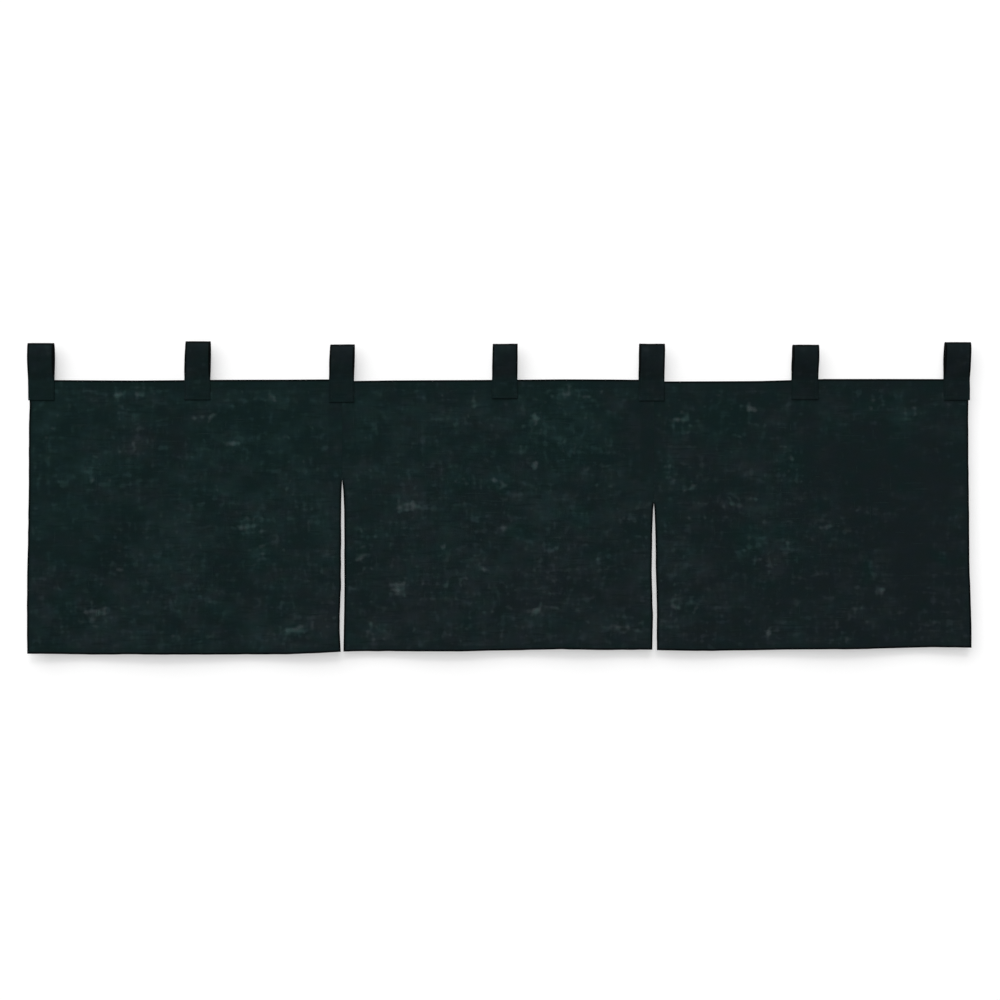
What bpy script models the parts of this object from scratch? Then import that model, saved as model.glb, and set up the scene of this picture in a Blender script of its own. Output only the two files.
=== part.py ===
"""Noren curtain: three cloth panels sewn edge to edge along their upper part, open as slits below,
and hung by seven folded tabs.

Metres, +Z up. The front faces -Y and +X runs along the width. The origin is the middle of the line on
which a pole through the tabs lies. The tables below hold the small unevenness of a sewn and hung cloth
in millimetres, and everything else is worked out from the driving dimensions.
"""

from collections import namedtuple
from math import exp

import bmesh
import bpy
import numpy as np

MM = 0.001

# Driving dimensions
WIDTH = 1.300  # over the outer edges of the outer panels
HEADING_DROP = 0.0405  # from the pole's line down to the cloth's top edge
CLOTH_HEIGHT = 0.3745  # from the top edge to the hem
LOOP_RISE = 0.010  # from the pole's line up to the top of the tabs
LOOP_DEPTH = 0.0172  # through an open tab, front to back, over its outer faces
CLOTH_THICKNESS = 0.0012
TAB_THICKNESS = 0.0016  # the same cloth folded double
PIECE_GAP = 0.0003

# A tab's side view: it is blunt at the top, widest a third of the way down and closes on the cloth
LOOP_BLUNTNESS = 0.5
LOOP_TAPER = 1.2

# How far down the cloth the tabs hold it flat, and where it hangs free, as shares of its height
HELD_DOWN_TO = 0.10
FREE_FROM = 0.70
HEADING_SHARE = 0.30  # how much of a fold is left at the top edge, midway between two tabs
HELD_BESIDE_TAB = 0.003
FREE_BESIDE_TAB = 0.045
SLIT_SWING_REACH = 0.060  # how far in from a slit its edge swings with it

# Steps of the faceted sheets
PANEL_COLUMNS = 26
PANEL_ROWS = 22
TAB_COLUMNS = 2
LEAF_STEPS = 3
LOOP_STEPS = 12

Tab = namedtuple("Tab", "name sixth shift lean width_top width_base higher lap")
TABS = (
    # place in sixths of the width, shift from it, lean from top to base, widths at top and base,
    # height over the usual top, and how far both leaves lap the cloth
    Tab("tab_1", -3, 18.1, 0.4, 36.4, 36.0, 0.4, 28.3),
    Tab("tab_2", -2, 18.2, -1.3, 34.3, 35.8, 2.8, 27.7),
    Tab("tab_3", -1, 0.5, -1.5, 33.9, 34.7, -1.6, 31.0),
    Tab("tab_4", 0, 8.1, -0.8, 34.6, 35.4, -0.7, 25.8),
    Tab("tab_5", 1, -6.1, -0.9, 35.3, 35.7, -0.7, 29.0),
    Tab("tab_6", 2, -10.8, -1.4, 36.3, 37.1, -2.0, 27.3),
    Tab("tab_7", 3, -18.0, -1.6, 36.0, 36.3, 1.7, 28.1),
)

Edge = namedtuple("Edge", "across top hem")
# Share of the panel's width, and how far its top edge and its hem stand above their usual heights
LEFT_ENDS = (
    Edge(0.00, -0.1, -3.0),
    Edge(0.20, -0.6, -4.4),
    Edge(0.35, -0.9, -4.0),
    Edge(0.63, 0.1, -4.6),
    Edge(0.83, 0.3, -3.8),
    Edge(0.93, 0.6, -2.0),
    Edge(1.00, 0.7, -0.2),
)
MIDDLE_ENDS = (
    Edge(0.00, -1.8, -0.2),
    Edge(0.16, -0.7, 0.2),
    Edge(0.40, -0.3, 0.2),
    Edge(0.58, 0.3, 1.7),
    Edge(0.71, 0.7, 3.1),
    Edge(0.86, 0.5, 2.0),
    Edge(1.00, -0.1, 2.3),
)
RIGHT_ENDS = (
    Edge(0.00, -2.2, 1.8),
    Edge(0.13, -2.1, 0.6),
    Edge(0.34, -1.6, 1.6),
    Edge(0.43, -0.4, 2.7),
    Edge(0.54, 1.2, 3.1),
    Edge(0.67, 1.2, 3.4),
    Edge(0.87, 1.1, 5.7),
    Edge(1.00, 1.0, 5.3),
)

Side = namedtuple("Side", "down out")
# Share of the cloth's height, and how far its outer edge stands outside half the width
OUTER_LEFT = (
    Side(0.00, -1.2),
    Side(0.10, -2.6),
    Side(0.16, -1.5),
    Side(0.45, -1.0),
    Side(0.67, 0.5),
    Side(0.85, 1.0),
    Side(1.00, 0.3),
)
OUTER_RIGHT = (
    Side(0.00, -2.3),
    Side(0.07, -3.6),
    Side(0.36, -3.1),
    Side(0.52, -2.4),
    Side(0.68, -2.5),
    Side(0.87, 0.0),
    Side(1.00, 0.6),
)

Slit = namedtuple("Slit", "sixth shift opens left_swing right_swing edges")
SlitEdge = namedtuple("SlitEdge", "down left right")
# Place of the seam in sixths of the width and its shift, the share of the height where the sewing
# stops, how far the two edges swing forward at the hem, and how far each has parted from the seam
LEFT_SLIT = Slit(-1, 0.1, 0.37, 3.0, -2.0, (
    SlitEdge(0.41, 1.0, 1.5),
    SlitEdge(0.46, 1.3, 2.4),
    SlitEdge(0.77, 1.6, 3.0),
    SlitEdge(0.82, 2.7, 2.7),
    SlitEdge(0.91, 3.5, 2.2),
    SlitEdge(1.00, 2.1, 1.6),
))
RIGHT_SLIT = Slit(1, -3.5, 0.453, 2.5, -2.5, (
    SlitEdge(0.48, 1.2, 0.6),
    SlitEdge(0.58, 2.3, 2.2),
    SlitEdge(0.71, 3.0, 2.4),
    SlitEdge(0.78, 2.6, 3.6),
    SlitEdge(0.87, 1.5, 3.9),
    SlitEdge(1.00, 2.3, 4.1),
))

Fold = namedtuple("Fold", "top hem half_width bulge")
FOLDS = (
    # place across at the top edge and at the hem, half width, and how far it stands forward
    Fold(-461, -640, 48, 4.2),
    Fold(-400, -575, 40, -4.4),
    Fold(-330, -470, 55, 4.0),
    Fold(-300, -345, 45, -3.6),
    Fold(-235, -262, 40, 3.0),
    Fold(-150, -165, 50, -4.0),
    Fold(-85, -75, 55, 4.2),
    Fold(5, 20, 50, -3.6),
    Fold(95, 105, 50, 4.4),
    Fold(175, 178, 36, -2.6),
    Fold(262, 255, 42, 3.2),
    Fold(330, 345, 50, -3.6),
    Fold(400, 470, 55, 4.2),
    Fold(455, 575, 45, -4.6),
    Fold(540, 655, 50, 3.8),
)

Panel = namedtuple("Panel", "name ends left right colour")
PANELS = (
    # top edge and hem, what bounds it to the left and to the right, and its colour
    Panel("panel_left", LEFT_ENDS, OUTER_LEFT, LEFT_SLIT, (0.0110, 0.0205, 0.0200)),
    Panel("panel_middle", MIDDLE_ENDS, LEFT_SLIT, RIGHT_SLIT, (0.0100, 0.0180, 0.0180)),
    Panel("panel_right", RIGHT_ENDS, RIGHT_SLIT, OUTER_RIGHT, (0.0085, 0.0145, 0.0155)),
)
TAB_COLOUR = (0.0060, 0.0115, 0.0125)
CLOTH_ROUGHNESS = 0.92


def clear_scene():
    for obj in list(bpy.data.objects):
        bpy.data.objects.remove(obj)


def new_collection(name):
    collection = bpy.data.collections.new(name)
    bpy.context.scene.collection.children.link(collection)
    return collection


def cloth_material(name, colour):
    material = bpy.data.materials.new(name)
    material.use_nodes = True
    shader = material.node_tree.nodes["Principled BSDF"]
    shader.inputs["Base Color"].default_value = (*colour, 1.0)
    shader.inputs["Roughness"].default_value = CLOTH_ROUGHNESS
    shader.inputs["Metallic"].default_value = 0.0
    material.diffuse_color = (*colour, 1.0)
    return material


def ease(value, start, end):
    """0 before start, 1 past end, and a smooth step between them."""
    share = min(max((value - start) / (end - start), 0.0), 1.0)
    return share * share * (3 - 2 * share)


def read_table(rows, column, at):
    """The column's value at a place between the rows, whose first column holds the places."""
    places = [row[0] for row in rows]
    values = [getattr(row, column) for row in rows]
    return float(np.interp(at, places, values))


def seam_x(slit):
    return slit.sixth * WIDTH / 6 + slit.shift * MM


def slit_x(slit, side, down):
    """Where the panel on this side of the slit ends: half a gap from the seam, then parted from it."""
    sewn = SlitEdge(slit.opens, PIECE_GAP / 2 / MM, PIECE_GAP / 2 / MM)
    parted = read_table((sewn,) + slit.edges, side, down) * MM
    return seam_x(slit) + (parted if side == "right" else -parted)


def left_x(panel, down):
    if isinstance(panel.left, Slit):
        return slit_x(panel.left, "right", down)
    return -WIDTH / 2 - read_table(panel.left, "out", down) * MM


def right_x(panel, down):
    if isinstance(panel.right, Slit):
        return slit_x(panel.right, "left", down)
    return WIDTH / 2 + read_table(panel.right, "out", down) * MM


def tab_x(tab):
    return tab.sixth * WIDTH / 6 + tab.shift * MM


def held(x, down):
    """What share of a fold shows here: none where a tab holds the cloth, all where it hangs free."""
    beside = min(abs(x - tab_x(tab)) - tab.width_base * MM / 2 for tab in TABS)
    between = ease(beside, HELD_BESIDE_TAB, FREE_BESIDE_TAB)
    free = ease(down, HELD_DOWN_TO, FREE_FROM)
    return free + (1 - free) * HEADING_SHARE * between


def fold_forward(x, down):
    """How far the folds bring the cloth forward, which is the same on both sides of a sewn seam."""
    forward = 0.0
    for fold in FOLDS:
        middle = (fold.top + (fold.hem - fold.top) * down) * MM
        forward += fold.bulge * MM * exp(-(((x - middle) / (fold.half_width * MM)) ** 2))
    return forward * held(x, down)


def swing_forward(slit, swing, x, down):
    """How far a slit's free edge stands forward of the folds."""
    near = exp(-(((x - seam_x(slit)) / SLIT_SWING_REACH) ** 2))
    return swing * MM * near * ease(down, slit.opens, 1.0)


def cloth_point(panel, across, down):
    """A point of the panel's middle surface, from its shares of the width and of the height."""
    top = -HEADING_DROP + read_table(panel.ends, "top", across) * MM
    hem = -HEADING_DROP - CLOTH_HEIGHT + read_table(panel.ends, "hem", across) * MM
    x = left_x(panel, down) + (right_x(panel, down) - left_x(panel, down)) * across
    forward = fold_forward(x, down)
    if isinstance(panel.left, Slit):
        forward += swing_forward(panel.left, panel.left.right_swing, x, down)
    if isinstance(panel.right, Slit):
        forward += swing_forward(panel.right, panel.right.left_swing, x, down)
    return x, -forward, top + (hem - top) * down


def heading_above(low_x, high_x):
    """The highest point of the cloth's top edge between two places along the curtain."""
    heights = []
    for panel in PANELS:
        left = left_x(panel, 0.0)
        right = right_x(panel, 0.0)
        if high_x > left and low_x < right:
            for x in (max(low_x, left), min(high_x, right)):
                across = (x - left) / (right - left)
                heights.append(-HEADING_DROP + read_table(panel.ends, "top", across) * MM)
    return max(heights)


def tab_profile(tab):
    """(forward, height) along a tab's middle surface, from its front leaf's end over to the back's."""
    lapped = CLOTH_THICKNESS / 2 + PIECE_GAP + TAB_THICKNESS / 2
    half_width = tab.width_base * MM / 2
    closes = heading_above(tab_x(tab) - half_width, tab_x(tab) + half_width)
    top = LOOP_RISE + tab.higher * MM - TAB_THICKNESS / 2
    leaf_end = -HEADING_DROP - tab.lap * MM
    widest = LOOP_BLUNTNESS / (LOOP_BLUNTNESS + LOOP_TAPER)
    reach = widest**LOOP_BLUNTNESS * (1 - widest) ** LOOP_TAPER
    bulge = ((LOOP_DEPTH - TAB_THICKNESS) / 2 - lapped * widest) / reach
    front = [(lapped, leaf_end + (closes - leaf_end) * step / LEAF_STEPS) for step in range(LEAF_STEPS)]
    for step in range(LOOP_STEPS + 1):
        below = (1 - step / LOOP_STEPS) ** 2
        forward = lapped * below + bulge * below**LOOP_BLUNTNESS * (1 - below) ** LOOP_TAPER
        front.append((forward, top - (top - closes) * below))
    back = [(-forward, height) for forward, height in reversed(front[:-1])]
    return front + back


def tab_point(tab, across, profile_point):
    """A point of the tab's middle surface, from its share of the width and its side view."""
    forward, height = profile_point
    top = LOOP_RISE + tab.higher * MM
    down = min((top - height) / (top + HEADING_DROP), 1.0)
    width = (tab.width_top + (tab.width_base - tab.width_top) * down) * MM
    middle = tab_x(tab) + tab.lean * MM * down
    return middle + (across - 0.5) * width, -forward, height


def add_sheet(name, bm, thickness, colour, collection):
    """An object from an open sheet, thickened evenly to both sides."""
    mesh = bpy.data.meshes.new(name)
    bm.to_mesh(mesh)
    bm.free()
    mesh.shade_smooth()
    mesh.materials.append(cloth_material(name + "_cloth", colour))
    obj = bpy.data.objects.new(name, mesh)
    collection.objects.link(obj)
    solidify = obj.modifiers.new("thickness", "SOLIDIFY")
    solidify.thickness = thickness
    solidify.offset = 0.0
    solidify.use_even_offset = True
    return obj


def add_panel(panel, collection):
    bm = bmesh.new()
    bmesh.ops.create_grid(bm, x_segments=PANEL_COLUMNS, y_segments=PANEL_ROWS, size=0.5)
    for vert in bm.verts:
        vert.co = cloth_point(panel, vert.co.x + 0.5, 0.5 - vert.co.y)
    add_sheet(panel.name, bm, CLOTH_THICKNESS, panel.colour, collection)


def add_tab(tab, collection):
    profile = tab_profile(tab)
    rows = len(profile) - 1
    bm = bmesh.new()
    bmesh.ops.create_grid(bm, x_segments=TAB_COLUMNS, y_segments=rows, size=0.5)
    for vert in bm.verts:
        row = round((vert.co.y + 0.5) * rows)
        vert.co = tab_point(tab, vert.co.x + 0.5, profile[row])
    add_sheet(tab.name, bm, TAB_THICKNESS, TAB_COLOUR, collection)


def main():
    clear_scene()
    collection = new_collection("noren_curtain")
    for panel in PANELS:
        add_panel(panel, collection)
    for tab in TABS:
        add_tab(tab, collection)


main()
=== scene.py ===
"""Noren curtain of dark green-black slub cloth, dressed for its picture.

Three panels hang side by side. Each is thin cloth with a turned hem all round, pressed open and
seamed to its neighbour along the upper part, and free below as a slit. Seven straps of doubled
cloth are looped over the line of the pole, and their ends clasp the top hem. The shapes follow
the folds of the solids, and the sewing and the thick places of the yarn lie on them as threads.
Metres, +Z up, the front faces -Y, and the pole's line is the X axis.
"""

from collections import namedtuple
from math import pi, radians, tau

import bpy
import numpy as np
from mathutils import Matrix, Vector


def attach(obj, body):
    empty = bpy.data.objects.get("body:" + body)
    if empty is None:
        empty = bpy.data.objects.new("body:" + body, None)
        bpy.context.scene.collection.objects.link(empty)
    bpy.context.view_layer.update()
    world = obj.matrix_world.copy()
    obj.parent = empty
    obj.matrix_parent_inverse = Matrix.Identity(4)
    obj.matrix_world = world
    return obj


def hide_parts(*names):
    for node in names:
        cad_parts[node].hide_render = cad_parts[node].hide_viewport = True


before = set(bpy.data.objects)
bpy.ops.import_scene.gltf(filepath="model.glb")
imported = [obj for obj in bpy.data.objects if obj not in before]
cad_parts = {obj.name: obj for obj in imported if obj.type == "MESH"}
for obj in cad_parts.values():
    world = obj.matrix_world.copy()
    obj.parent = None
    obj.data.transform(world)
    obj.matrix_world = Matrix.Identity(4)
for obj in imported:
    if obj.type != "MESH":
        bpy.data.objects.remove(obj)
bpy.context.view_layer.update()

MM = 0.001

# The shape in which the curtain hangs

WIDTH = 1.300  # over the outer edges of the outer panels
HEADING_DROP = 0.0405  # from the pole's line down to the cloth's top edge
CLOTH_HEIGHT = 0.3745
LOOP_RISE = 0.010  # from the pole's line up to the top of the straps
LOOP_DEPTH = 0.0172  # over outer faces
LOOP_BLUNTNESS = 0.5
LOOP_TAPER = 1.2
HELD_DOWN_TO = 0.10  # shares of the height
FREE_FROM = 0.70
HEADING_SHARE = 0.30
HELD_BESIDE_STRAP = 0.003
FREE_BESIDE_STRAP = 0.045
SLIT_SWING_REACH = 0.060

# Thicknesses

CLOTH_THICKNESS = 0.0005
BEHIND_PER_LAYER = 0.00036  # how far a turned-in layer sets the back face back
BEFORE_PER_LAYER = 0.00005
STRAP_THICKNESS = 0.0016
STRAP_EASE = 0.0001  # between a strap's leaf and the hem that it clasps
EDGE_RADIUS = 0.0006
EDGE_SHARE = 0.35  # of its thickness that an edge keeps where it is rounded off

# Hems, seams and their rows of sewing, in from the edge

TOP_HEM = 0.0135
BOTTOM_HEM = 0.0070
SIDE_HEM = 0.0052
SEAM_ALLOWANCE = 0.0190
LEDGE = 0.0010  # over which a turned-in layer ends
TOP_ROW = 0.0124
BOTTOM_ROW = 0.0060
SIDE_ROW = 0.0042
STRAP_SIDE_ROW = 0.0034
LAP_ROWS = (0.0020, 0.0230)  # below the cloth's top edge
STITCH_LENGTH = 0.0024
STITCH_SPACE = 0.0007
THREAD_THICKNESS = 0.00052
STITCH_SLANT = 5  # degrees either way
STITCH_EVENNESS = (0.88, 1.10)  # shortest and longest, as shares of the stitch length
STITCH_SIDES = 7
STITCH_RINGS = 5
STITCH_BED = 0.00016  # how deep a row of sewing sinks into the cloth
STITCH_BED_REACH = 0.0009
TACK_WIDTH = 0.0042  # of the tack that closes a slit's top
TACK_THREADS = 5
TACK_PITCH = 0.0008
TACK_ACROSS = 0.998  # share of the panel's width at which the tack lies
CLEAR_OF_STRAP = 0.0012  # how far from a strap the rows along the top hem stop
SLIT_ROW_START = 0.004  # share of the height from a slit's top to its row
STRAP_ROW_START = 0.0022  # from a leaf's end to the rows down a strap's sides

# Thick places in single yarns

SLUBS_A_PANEL = 150
WEFT_SLUBS = 3  # of every five
WARP_SLUB_SHARE = 0.8  # of a weft slub's length
SLUBS_FROM = 0.10  # share of the height above which the straps' leaves lie
SLUB_LENGTH = (0.007, 0.034)
SLUB_RADIUS = (0.00026, 0.00048)
SLUB_SUNK = 0.5  # share of the radius
SLUB_WAVER = 0.00006
SLUB_WAVER_LENGTH = 0.011
SLUB_TAPER = 0.7
SLUB_SIDES = 6

# Unevenness of the hung cloth

COCKLE = 0.00042
COCKLE_CELLS = ((0.042, 0.064, 1.0), (0.017, 0.024, 0.45))  # width, height and share
PUCKER = 0.00040
PUCKER_CELL = 0.0085
PUCKER_REACH = 0.0080
EDGE_WAVER = 0.00022
EDGE_WAVER_CELL = 0.014
EDGE_WAVER_REACH = 0.012
PULL = 0.00060
PULL_REACH = 0.030
PULL_HALF_WIDTH = 0.0050
PULL_SLANT = 0.35
STRAP_UNEVEN = 0.00006
STRAP_UNEVEN_CELL = (0.006, 0.009)
STRAP_SAG = 0.0004  # of a loop's middle
STRAP_SAG_CELL = 0.030
NOISE_CELLS = 64

# Painted shade: where the cloth is painted darker along its edges, and a painted shadow along the ends of the
# straps' leaves

EDGE_SHADE_WIDTH = (0.0021, 0.0032)  # in full as far in as the first, and fading up to the second
EDGE_SHADE_ON_LAP = 0.10  # share of it on a strap's leaves
LEAF_SHADOW_REACH = 0.0020
LEAF_SHADOW_SHARE = 0.28  # of it on the cloth just below a leaf, as a painted shadow

# Mesh spacing, out from an edge and then even

EDGE_STATIONS = (0.0, 0.00015, 0.0004, 0.0008, 0.0016, 0.0026, 0.0034, 0.0042, 0.0050, 0.0056, 0.0066)
OVER_TOP_HEM = (0.0085, 0.0105, 0.0116, 0.0124, 0.0131, 0.0137, 0.0146)
OVER_ALLOWANCE = (0.0090, 0.0115, 0.0140, 0.0162, 0.0180, 0.0186, 0.0192, 0.0200, 0.0216)
CLOTH_STEP = 0.0024
STRAP_STEP = 0.0015
ROW_STEP = 0.004
TOP_ROW_FINENESS = 4  # steps of the top row to one of the others
SLUB_STEP = 0.0025

Tab = namedtuple("Tab", "name sixth shift lean width_top width_base higher lap")
TABS = (
    # middle of the base at this sixth of the width plus a shift; its lean at the base; how much
    # its top stands above the others and how far it laps below the top edge: mm but for sixth
    Tab("tab_1", -3, 18.1, 0.4, 36.4, 36.0, 0.4, 28.3),
    Tab("tab_2", -2, 18.2, -1.3, 34.3, 35.8, 2.8, 27.7),
    Tab("tab_3", -1, 0.5, -1.5, 33.9, 34.7, -1.6, 31.0),
    Tab("tab_4", 0, 8.1, -0.8, 34.6, 35.4, -0.7, 25.8),
    Tab("tab_5", 1, -6.1, -0.9, 35.3, 35.7, -0.7, 29.0),
    Tab("tab_6", 2, -10.8, -1.4, 36.3, 37.1, -2.0, 27.3),
    Tab("tab_7", 3, -18.0, -1.6, 36.0, 36.3, 1.7, 28.1),
)

Edge = namedtuple("Edge", "across top hem")  # share of the width; how much the cloth ends higher, mm
LEFT_ENDS = (
    Edge(0.00, -0.1, -3.0),
    Edge(0.20, -0.6, -4.4),
    Edge(0.35, -0.9, -4.0),
    Edge(0.63, 0.1, -4.6),
    Edge(0.83, 0.3, -3.8),
    Edge(0.93, 0.6, -2.0),
    Edge(1.00, 0.7, -0.2),
)
MIDDLE_ENDS = (
    Edge(0.00, -1.8, -0.2),
    Edge(0.16, -0.7, 0.2),
    Edge(0.40, -0.3, 0.2),
    Edge(0.58, 0.3, 1.7),
    Edge(0.71, 0.7, 3.1),
    Edge(0.86, 0.5, 2.0),
    Edge(1.00, -0.1, 2.3),
)
RIGHT_ENDS = (
    Edge(0.00, -2.2, 1.8),
    Edge(0.13, -2.1, 0.6),
    Edge(0.34, -1.6, 1.6),
    Edge(0.43, -0.4, 2.7),
    Edge(0.54, 1.2, 3.1),
    Edge(0.67, 1.2, 3.4),
    Edge(0.87, 1.1, 5.7),
    Edge(1.00, 1.0, 5.3),
)

Side = namedtuple("Side", "down out")  # share of the height; how much further out the edge is, mm
OUTER_LEFT = (
    Side(0.00, -1.2),
    Side(0.10, -2.6),
    Side(0.16, -1.5),
    Side(0.45, -1.0),
    Side(0.67, 0.5),
    Side(0.85, 1.0),
    Side(1.00, 0.3),
)
OUTER_RIGHT = (
    Side(0.00, -2.3),
    Side(0.07, -3.6),
    Side(0.36, -3.1),
    Side(0.52, -2.4),
    Side(0.68, -2.5),
    Side(0.87, 0.0),
    Side(1.00, 0.6),
)

Slit = namedtuple("Slit", "sixth shift opens left_swing right_swing edges")
SlitEdge = namedtuple("SlitEdge", "down left right")  # how far each edge is from the seam, mm
LEFT_SLIT = Slit(
    -1, 0.1, 0.37, 3.0, -2.0,
    (
        SlitEdge(0.41, 1.0, 1.5),
        SlitEdge(0.46, 1.3, 2.4),
        SlitEdge(0.77, 1.6, 3.0),
        SlitEdge(0.82, 2.7, 2.7),
        SlitEdge(0.91, 3.5, 2.2),
        SlitEdge(1.00, 2.1, 1.6),
    ),
)
RIGHT_SLIT = Slit(
    1, -3.5, 0.453, 2.5, -2.5,
    (
        SlitEdge(0.48, 1.2, 0.6),
        SlitEdge(0.58, 2.3, 2.2),
        SlitEdge(0.71, 3.0, 2.4),
        SlitEdge(0.78, 2.6, 3.6),
        SlitEdge(0.87, 1.5, 3.9),
        SlitEdge(1.00, 2.3, 4.1),
    ),
)

Fold = namedtuple("Fold", "top hem half_width bulge")  # mm; its middle at the top edge and the hem
FOLDS = (
    Fold(-461, -640, 48, 4.2),
    Fold(-400, -575, 40, -4.4),
    Fold(-330, -470, 55, 4.0),
    Fold(-300, -345, 45, -3.6),
    Fold(-235, -262, 40, 3.0),
    Fold(-150, -165, 50, -4.0),
    Fold(-85, -75, 55, 4.2),
    Fold(5, 20, 50, -3.6),
    Fold(95, 105, 50, 4.4),
    Fold(175, 178, 36, -2.6),
    Fold(262, 255, 42, 3.2),
    Fold(330, 345, 50, -3.6),
    Fold(400, 470, 55, 4.2),
    Fold(455, 575, 45, -4.6),
    Fold(540, 655, 50, 3.8),
)

Panel = namedtuple("Panel", "name ends left right cut weave_shift seed")
PANELS = (
    # its ends and what bounds it on each side; the size it was cut to; where on the bolt it lay
    Panel("panel_left", LEFT_ENDS, OUTER_LEFT, LEFT_SLIT, (0.463, 0.408), 0.0, 11),
    Panel("panel_middle", MIDDLE_ENDS, LEFT_SLIT, RIGHT_SLIT, (0.470, 0.408), 2.0, 12),
    Panel("panel_right", RIGHT_ENDS, RIGHT_SLIT, OUTER_RIGHT, (0.467, 0.408), 4.0, 13),
)

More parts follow.
